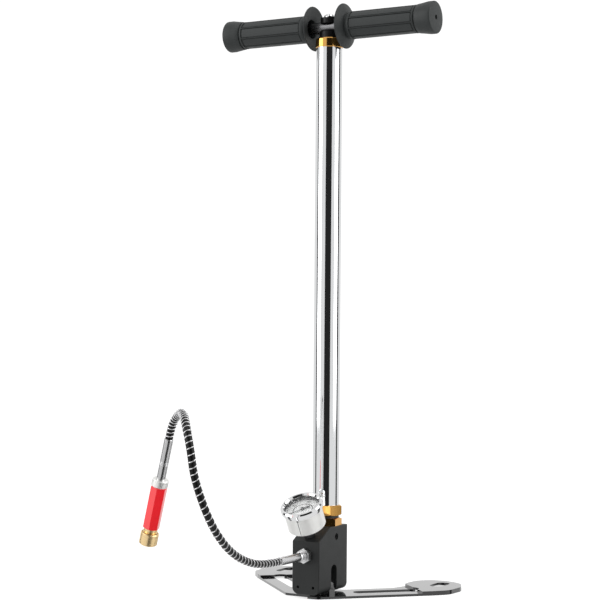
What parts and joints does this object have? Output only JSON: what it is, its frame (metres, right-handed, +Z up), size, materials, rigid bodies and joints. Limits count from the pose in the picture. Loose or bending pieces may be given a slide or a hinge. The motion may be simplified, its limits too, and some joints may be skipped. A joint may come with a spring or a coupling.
{
  "type": "high-pressure stirrup pump",
  "caption": "Upright hand-worked air pump with a sliding chrome tube, T handle, valve block, pressure gauge, armoured hose with a quick coupler, and fold-out foot plates.",
  "frame": {"origin": "on the column's axis at floor level, at the inner edges of the two foot plates", "axes": "+Z up the column, X along the handle, -Y towards the gauge and the hose"},
  "size_m": [0.2617, 0.4014, 0.6275],
  "materials": {
    "black_block": "black anodised, satin",
    "dark_steel": "blackened",
    "satin_steel": "satin",
    "spring_steel": "drawn wire",
    "sleeve_steel": "satin, with rolled rings",
    "gold_brass": "polished",
    "tube_chrome": "polished",
    "bright_chrome": "polished",
    "seal_rubber": "smooth",
    "bush_plastic": "turned, matt",
    "saddle_plastic": "moulded, matt",
    "grip_rubber": "moulded, matt",
    "dial_white": "matt print",
    "needle_black": "matt",
    "lens_glass": "clear",
    "hose_rubber": "matt, with a coiled steel guard",
    "red_anodised": "red anodised, satin",
    "filter_felt": "felt",
    "gloss_black": "gloss, powder coated"
  },
  "bodies": {
    "base": {"base_block": "black_block", "lock_screw": "dark_steel", "left_hinge_pin": "satin_steel", "right_hinge_pin": "satin_steel", "gland_nut": "gold_brass", "gland_seal": "seal_rubber", "inner_tube": "tube_chrome", "buffer_ring": "seal_rubber", "first_stage_piston": "gold_brass", "piston_seal": "seal_rubber", "rod_seal": "seal_rubber", "valve_seat": "gold_brass", "valve_spring": "spring_steel", "gauge_stem": "dark_steel", "gauge_case": "satin_steel", "gauge_movement": "gold_brass", "bourdon_tube": "gold_brass", "gauge_dial": "dial_white", "gauge_lens": "lens_glass", "gauge_bezel": "bright_chrome", "hose_nut": "satin_steel", "near_sleeve": "sleeve_steel", "hose": "hose_rubber", "far_sleeve": "sleeve_steel", "far_collar": "bright_chrome", "filter_barrel": "red_anodised", "filter_element": "filter_felt", "coupler_body": "gold_brass", "coupler_seal": "seal_rubber", "coupler_balls": "satin_steel", "coupler_spring": "spring_steel"},
    "slider": {"guide_bush": "bush_plastic", "wiper_seal": "seal_rubber"},
    "handle": {"outer_tube": "tube_chrome", "guide_nut": "gold_brass", "top_cap": "gold_brass", "inner_rod": "tube_chrome", "rod_piston": "gold_brass", "rod_piston_seal": "seal_rubber", "lower_saddle": "saddle_plastic", "upper_saddle": "saddle_plastic", "handle_bar": "satin_steel", "handle_bolt": "bright_chrome", "left_grip": "grip_rubber", "right_grip": "grip_rubber"},
    "outlet_valve": {"valve_ball": "satin_steel"},
    "needle": {"gauge_needle": "needle_black"},
    "bleed": {"bleed_screw": "gold_brass", "bleed_seal": "seal_rubber"},
    "coupler_collar": {"coupler_sleeve": "gold_brass"},
    "left_plate": {"left_foot_plate": "gloss_black"},
    "right_plate": {"right_foot_plate": "gloss_black"}
  },
  "joints": [
    {"name": "pump_stroke", "type": "slide", "parent": "base", "child": "slider", "axis": [0, 0, 1], "range_m": [0, 0.44]},
    {"name": "handle_swivel", "type": "hinge", "parent": "slider", "child": "handle", "pos_m": [0, 0, 0.09], "axis": [0, 0, 1], "continuous": true},
    {"name": "left_plate_fold", "type": "hinge", "parent": "base", "child": "left_plate", "pos_m": [-0.009, 0, 0.012], "axis": [0, 1, 0], "range_deg": [0, 90]},
    {"name": "right_plate_fold", "type": "hinge", "parent": "base", "child": "right_plate", "pos_m": [0.009, 0, 0.012], "axis": [0, -1, 0], "range_deg": [0, 90]},
    {"name": "needle_turn", "type": "hinge", "parent": "base", "child": "needle", "pos_m": [0, -0.04976, 0.09409], "axis": [0, 0.4848, -0.8746], "range_deg": [0, 270], "stiffness_Nm_per_rad": 0.0005, "springref_deg": -17.19},
    {"name": "bleed_turn", "type": "hinge", "parent": "base", "child": "bleed", "pos_m": [0, 0.0195, 0.045], "axis": [0, 1, 0], "range_deg": [0, 360]},
    {"name": "coupler_release", "type": "slide", "parent": "base", "child": "coupler_collar", "axis": [0.3011, -0.126, 0.9452], "range_m": [0, 0.002], "stiffness_N_per_m": 600, "springref_m": -0.002, "deforming": ["coupler_spring"]},
    {"name": "outlet_valve_lift", "type": "slide", "parent": "base", "child": "outlet_valve", "axis": [0, 0, -1], "range_m": [0, 0.0008], "stiffness_N_per_m": 100, "springref_m": -0.002, "deforming": ["valve_spring"]}
  ]
}
